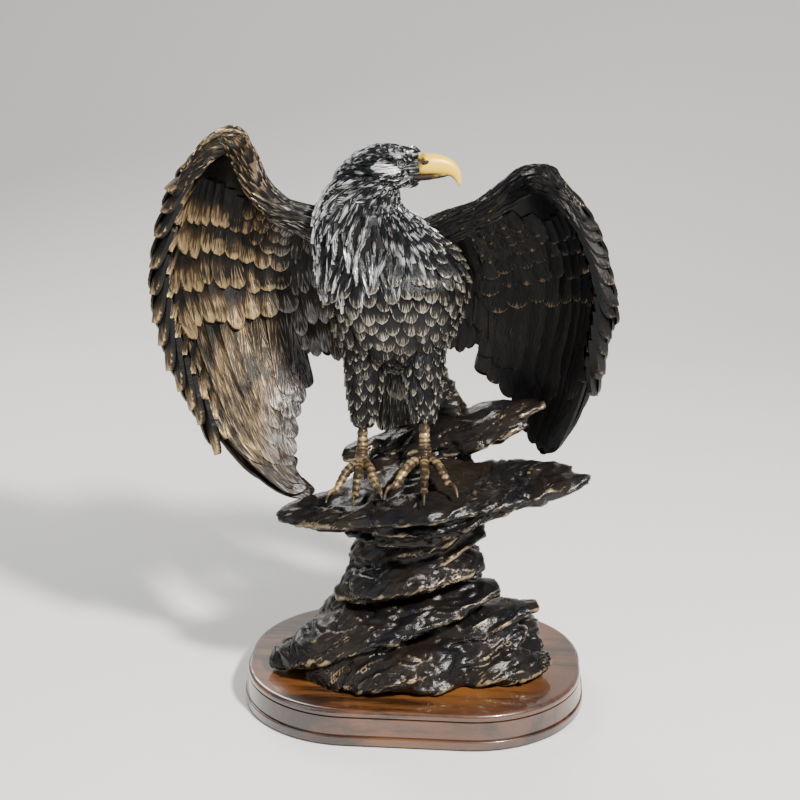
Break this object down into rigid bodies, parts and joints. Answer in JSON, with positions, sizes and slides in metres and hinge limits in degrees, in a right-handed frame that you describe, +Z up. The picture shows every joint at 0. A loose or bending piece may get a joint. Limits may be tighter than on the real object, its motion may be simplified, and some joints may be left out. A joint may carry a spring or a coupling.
{
  "type": "eagle statuette",
  "caption": "Bronze eagle with raised cupped wings on a layered rock, bolted to an oval lacquered wooden plinth with a felt underside.",
  "frame": {"origin": "centre of the wooden plinth's outline, on the surface that the felt underside rests on", "axes": "+Z up, +X along the plinth's long side and the way the eagle's beak points, -Y the way its breast faces"},
  "size_m": [0.252, 0.155, 0.3509],
  "materials": {
    "felt": "dark green baize",
    "lacquered_wood": "dark brown wood, glossy lacquer",
    "steel": "zinc-plated and turned steel",
    "insert_brass": "turned brass",
    "rock_bronze": "near-black patina, ridges rubbed back to bronze",
    "feather_bronze": "near-black patina, feather tips rubbed back to bronze",
    "rubbed_bronze": "worn bronze",
    "gilt_beak": "pale satin gilding",
    "eye_bronze": "dark polished patina"
  },
  "bodies": {
    "root": {"felt_pad": "felt", "plinth": "lacquered_wood", "plinth_screws": "steel", "plinth_washers": "steel", "rock_dowels": "steel", "right_leg_rod": "steel", "left_leg_rod": "steel", "right_wing_dowel": "steel", "left_wing_dowel": "steel", "rock_inserts": "insert_brass", "rock_mound": "rock_bronze", "rock_neck": "rock_bronze", "perch_ledge": "rock_bronze", "rear_ledge": "rock_bronze", "rear_crag": "rock_bronze", "torso": "feather_bronze", "head": "feather_bronze", "right_leg": "feather_bronze", "left_leg": "feather_bronze", "tail": "feather_bronze", "right_wing_arm": "feather_bronze", "right_wing_coverts": "feather_bronze", "right_wing_quills": "feather_bronze", "left_wing_arm": "feather_bronze", "left_wing_coverts": "feather_bronze", "left_wing_quills": "feather_bronze", "right_foot": "rubbed_bronze", "left_foot": "rubbed_bronze", "upper_beak": "gilt_beak", "lower_beak": "gilt_beak", "right_eye": "eye_bronze", "left_eye": "eye_bronze"}
  },
  "joints": []
}
